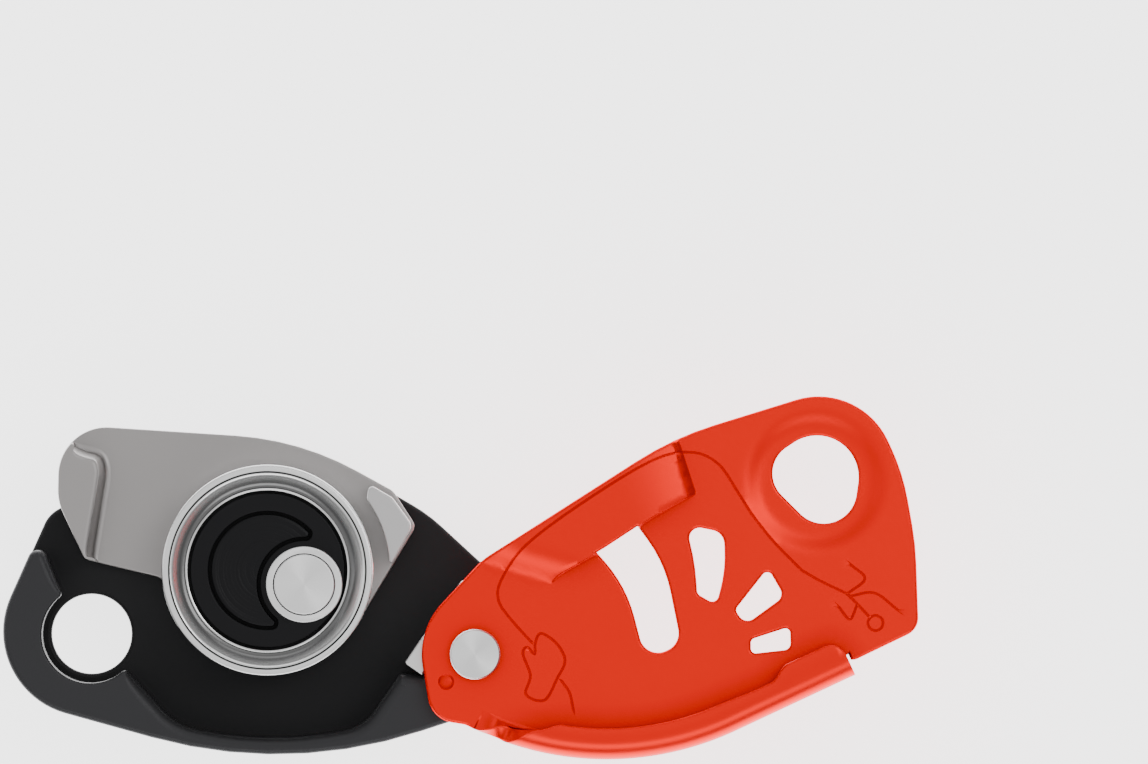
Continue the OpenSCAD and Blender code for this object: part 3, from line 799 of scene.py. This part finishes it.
def band(p):
    """The height of the raised band, with a rounded step along its edge."""
    s = np.where(inside(p, BAND), 1.0, -1.0) * away(p, BAND)
    t = np.clip((s + STEP) / STEP, 0, 1)
    return ramp(p) * np.sqrt(np.clip(1 - (1 - t) ** 2, 0, 1))


# engraved (line, closed) strokes: the rope's path, a hand that holds it, and a figure that hangs on it
ROPE_LINE = curve([(10.3, -2.7), (8.9, 2.5), (8.4, 6.9), (10.8, 10.2), (17.9, 13.8), (31.9, 16.1),
                   (45.7, 17), (52.6, 15.1), (56.1, 10.9), (57, 4), (57.5, -0.8), (58.8, -7), (60.9, -13.7)])
HAND = curve([(12.6, -2.1), (14.3, -5), (14.3, -8.6), (11.6, -10.8), (7.6, -13.4), (5, -10.9), (7.3, -8.2),
              (7.9, -4), (9.2, -3.2), (9.8, -5), (10.9, -3.2)], closed=True)
HEAD = circle((68.6, -28.6), 1.4, 20)
OPEN_STROKES = [(12, -11.6), (12.3, -14.4), (11.5, -17.4)], [(60.9, -13.7), (63, -16.9), (66.4, -21.4)], \
    [(66.4, -21.4), (67.4, -24.6), (68.1, -27)], [(67.2, -24), (64.7, -25.8), (63.9, -22.8)], \
    [(66.4, -21.4), (70.6, -20.4), (69.4, -16.8)], [(66.6, -22), (71, -23.6), (73.4, -28.4)]
ROPE_END, *FIGURE = [(curve(points), False) for points in OPEN_STROKES]
STROKES = [(ROPE_LINE, False), (HAND, True), ROPE_END, (HEAD, True)] + FIGURE
GROOVE_W, GROOVE_D = 0.26, 0.24
DIMPLE, DIMPLE_R, DIMPLE_FLOOR_R = np.array([-7.1, -2.1]), 1.5, 1.14
DISH, DISH_R, DISH_SLOPE, DISH_D = np.array([70.6, -0.2]), 13.4, 3.4, 0.75


def engraving(p):
    """How far the strokes, the dish round the hole and the dimple lower the top, as a height below 0."""
    d = np.full(len(p), FAR)
    for line, closed in STROKES:
        d = np.minimum(d, away(p, line, closed))
    h = -GROOVE_D * np.clip(1 - d / GROOVE_W, 0, 1)
    r = np.linalg.norm(p - DISH, axis=1)
    t = np.clip((DISH_R - r) / DISH_SLOPE, 0, 1)
    h -= DISH_D * t * t * (3 - 2 * t)
    r = np.linalg.norm(p - DIMPLE, axis=1)
    h -= 0.7 * np.clip((DIMPLE_R - r) / (DIMPLE_R - DIMPLE_FLOOR_R), 0, 1)
    h += 0.2 * np.clip(1 - r / DIMPLE_FLOOR_R, 0, 1)
    return h


def offset(line, d, closed):
    """The line moved sideways by d, to its left."""
    e = np.roll(line, -1, 0) - line
    if not closed:
        e[-1] = e[-2]
    e /= np.maximum(np.linalg.norm(e, axis=1), 1e-9)[:, None]
    n = np.stack([-e[:, 1], e[:, 0]], 1)
    m = n + np.roll(n, 1, 0)
    if not closed:
        m[0], m[-1] = n[0], n[-1]
    m /= np.maximum(np.linalg.norm(m, axis=1), 1e-9)[:, None]
    return line + m * d


def trimmed(line, closed, clear=0.75):
    """Runs of the line, as (line, closed), that stay clear of the plate's edges."""
    ok = in_sheet(line)
    for loop in LOOPS:
        ok &= away(line, loop) > clear
    if ok.all():
        return [(line, closed)]
    out, run = [], []
    back = 1 if closed else 0
    for p, good in zip([*line, *line[:back], None], [*ok, *ok[:back], False]):
        if good:
            run.append(p)
        else:
            if len(run) > 2:
                out.append((np.array(run), False))
            run = []
    return out


grooves = [run for line, closed in STROKES for d in (-GROOVE_W, 0, GROOVE_W)
           for run in trimmed(offset(line, d, closed), closed)]
outward = -1 if area(BAND) > 0 else 1
steps = [run for d in (-0.02, STEP * 0.3, STEP * 0.65, STEP * 0.92, STEP)
         for run in trimmed(offset(BAND, outward * d, True), True)]
creases = [run for line in (CREASE, RIDGE, FOOT_LINE)
           for run in trimmed(dense(line, 0.5, closed=False), False)]
dimple = [(circle(DIMPLE, r, 28), True) for r in (DIMPLE_R, DIMPLE_FLOOR_R)]

# the sheet's wall is left open where the lip grows from it
lip_start = np.array([polar(BEND, LIP_A0), polar(LIP_PATH, LIP_A0)])
is_open = []
for loop in LOOPS:
    at_root = np.min([np.linalg.norm(loop - q, axis=1) for q in root], axis=0) < 0.01
    tip = np.linalg.norm(loop - lip_start[1], axis=1) < 0.05
    is_open.append(at_root | tip | (away(loop, lip_start, False) < 0.01))

PLATE_TOP = PLATE_Z + PLATE_T
rows = [(inset, PLATE_TOP - depth) for inset, depth in (
    (0.5, 0), (0.38, 0.03), (0.24, 0.11), (0.1, 0.25), (0, 0.4))]
rows += edge_profile(PLATE_Z, PLATE_TOP, 0.3, 0.35, 5)[6:]
verts, faces = shell(LOOPS, lambda k: rows, lines=(grooves + steps + creases + dimple, steps + creases),
                     pitch=1.1, top=lambda p: band(p) + engraving(p), under=band,
                     weight=[np.where(flag, 0.0, 1.0) for flag in is_open], is_open=is_open)


def smooth(t):
    t = max(0.0, min(1.0, t))
    return t * t * (3 - 2 * t)


CREST_W, LEVEL_W, TAB_W = 1.8, 1.35, 1.9  # how far the lip's free edge reaches back over the sheet


def lip_width(s):
    """The width past the roll, s along the lip: a crest after the ramp, level, then the wider tab."""
    w = CREST_W * smooth((s / BEND - RAMP_END * 0.92) / 0.09)
    if s < ARC_END + 10.2:
        w += (LEVEL_W - CREST_W) * smooth((s - ARC_END + 2) / 10)
    else:
        w = LEVEL_W
    w += TAB_W * smooth((s - ARC_END - 9.6) / 4.2)
    left = LIP_TOTAL - s
    if left < 3:
        w = max(0.05, w - 2.9 * (1 - sqrt(max(0, 1 - ((3 - left) / 3) ** 2))))
    return w


# the lip: rolled up from flat over the ramp, one ring of points for each station
n_sheet = len(verts)
roll_centre = np.array([0, LIP_R])
for s, (p, n) in zip(far, stations):
    t = min(1.0, s / BEND / RAMP_END)
    phi = pi * smooth(t)
    w = LIP_R * (1 - sin(phi)) / cos(phi) if phi < pi / 2 - 0.01 else 0.0
    w = max(w, 0.0) + (lip_width(s) if t > 0.8 else 0.0)
    edge = 0.45 * smooth(s / 2.5)
    tip_dir, in_dir = towards(phi), np.array([-sin(phi), cos(phi)])
    ring = [roll_centre + LIP_R * towards(-pi / 2 + phi * j / ROLL_STEPS) for j in range(ROLL_STEPS + 1)]
    outer_end = ring[-1] + w * tip_dir
    ring[-1] = ring[-1] + (max(w - edge, 0.0)) * tip_dir * (0.999 if w > edge else 0)
    inner_end = outer_end + PLATE_T * in_dir
    for c, first, second in ((outer_end, -tip_dir, in_dir), (inner_end, -in_dir, -tip_dir)):
        mid = c + edge * (first + second)
        for k in range(5):
            b = pi / 2 * k / 4
            ring.append(mid - edge * second * cos(b) - edge * first * sin(b))
    ring += [roll_centre + (LIP_R - PLATE_T) * towards(-pi / 2 + phi * (ROLL_STEPS - j) / ROLL_STEPS)
             for j in range(ROLL_STEPS + 1)]
    verts += [(*(p + n * u), PLATE_Z + h) for u, h in ring]
m = len(ring)
for i in range(len(stations) - 1):
    for j in range(m - 1):
        a = n_sheet + i * m + j
        faces.append((a, a + 1, a + m + 1, a + m))
last = n_sheet + (len(stations) - 1) * m
faces.append(tuple(range(last, last + m)))
placed = to_plate(np.array([v[:2] for v in verts]))
verts = [(x, y, v[2]) for (x, y), v in zip(placed, verts)]
piece("side_plate_sheet", verts, faces, "moving_side", "orange_anodised", ORANGE, replaces=("side_plate",),
      angle=33)

RIVET_LO, RIVET_HI = (box[2] for box in span("side_plate_rivet"))
SHANK_R, REAR_R, REAR_T, FRONT_R, SEAT = 3.0, 4.3, 0.7, 4.7, PLATE_TOP + 0.06
lathe("pivot_rivet", PIVOT, turned([(0, RIVET_LO, 0), (3.9, RIVET_LO, 0.3), (REAR_R, RIVET_LO + REAR_T, 0.1),
                                    (SHANK_R, RIVET_LO + REAR_T, 0), (SHANK_R, SEAT, 0),
                                    (FRONT_R, SEAT, 0.15), (FRONT_R, RIVET_HI - 0.35, 0.1),
                                    (4.35, RIVET_HI, 0.12), (0, RIVET_HI, 0)]),
      "frame", "turned_steel", DISC, replaces=("side_plate_rivet",))

# ---------------------------------------------------------------- release handle on the back
GRIP_L, GRIP_TURN, GRIP_TOP = 46.0, radians(-10), -1.8
RIBS, RIB_PITCH, RIB_W, RIB_D = 5, 3.4, 0.75, 0.9
grip = rounded([(-13, -13, 11), (GRIP_L * 0.5, -10.6, 40), (GRIP_L + 9, -7, 6.3), (GRIP_L + 9, 7, 6.3),
                (GRIP_L * 0.5, 10.6, 40), (-13, 13, 11)])
c, s = cos(GRIP_TURN), sin(GRIP_TURN)
spin = np.array([[c, s], [-s, c]])


def grip_under(p):
    """Finger grooves across the handle's rear face."""
    x = (p - AXLE) @ spin.T[:, 0]
    h = np.zeros(len(x))
    for k in range(RIBS):
        h += RIB_D * np.exp(-((x - GRIP_L + 10 - 0.8 - RIB_PITCH * k) / RIB_W) ** 2)
    return h


slab("release_handle", [AXLE + grip @ spin, circle(AXLE, 8.1)], BACK, GRIP_TOP, "handle_body", "black_nylon",
     NYLON, edge=1.4, pitch=0.9, under=grip_under, replaces=("handle",))

# ---------------------------------------------------------------- floor, light, camera
bpy.ops.mesh.primitive_plane_add(size=6, location=(0.09, 0.045, BACK * MM - 0.0001))
ground = bpy.context.object
ground.name = "ground"
ground.data.materials.append(finish("stage_white", grey(0.92), 0.0, 0.9, glow=2.8))

CENTRE = Vector((0.0896, 0.0468, 0.0))  # the middle of the view


def softbox(name, where, size, power):
    """A rectangular lamp, aimed at the middle of the view."""
    data = bpy.data.lights.new(name, "AREA")
    data.shape = "RECTANGLE"
    data.size, data.size_y = size
    data.energy = power
    obj = bpy.data.objects.new(name, data)
    bpy.context.scene.collection.objects.link(obj)
    obj.location = where
    obj.rotation_euler = (CENTRE - Vector(where)).to_track_quat("-Z", "Y").to_euler()


softbox("overhead", (0.05, 0.1, 1.1), (0.9, 0.7), 0.4)
softbox("south", (0.12, -0.8, 0.75), (1.2, 0.5), 4)
softbox("north", (0.1, 0.9, 0.6), (1.2, 0.4), 1.5)
softbox("east", (0.6, 0.31, 1.05), (0.35, 0.5), 1.8)
softbox("west", (-0.7, 0.15, 0.5), (0.4, 0.9), 0.8)


def studio(horizon, zenith):
    """A tent: bright overhead, darker down the sides."""
    world = bpy.data.worlds.new("studio")
    world.use_nodes = True
    tree = world.node_tree
    back = tree.nodes["Background"]
    back.inputs["Color"].default_value = (1, 1, 1, 1)
    where = new_node(tree, "TexCoord").outputs["Generated"]
    split = new_node(tree, "SeparateXYZ", feeds={0: where})
    fade = new_node(tree, "MapRange", {"To Min": horizon, "To Max": zenith}, {"Value": split.outputs["Z"]},
                    interpolation_type="SMOOTHSTEP")
    tree.links.new(fade.outputs[0], back.inputs["Strength"])
    return world


bpy.context.scene.world = studio(0.25, 0.85)

DISTANCE, VIEW_WIDTH, SENSOR = 5.0, 0.2126, 36  # far off, so that heights hardly shift in the view
cam = bpy.data.cameras.new("camera")
cam.sensor_width = SENSOR
cam.lens = SENSOR * DISTANCE / VIEW_WIDTH
eye = bpy.data.objects.new("camera", cam)
bpy.context.scene.collection.objects.link(eye)
eye.location = (CENTRE.x, CENTRE.y, DISTANCE + 0.02)
bpy.context.scene.camera = eye

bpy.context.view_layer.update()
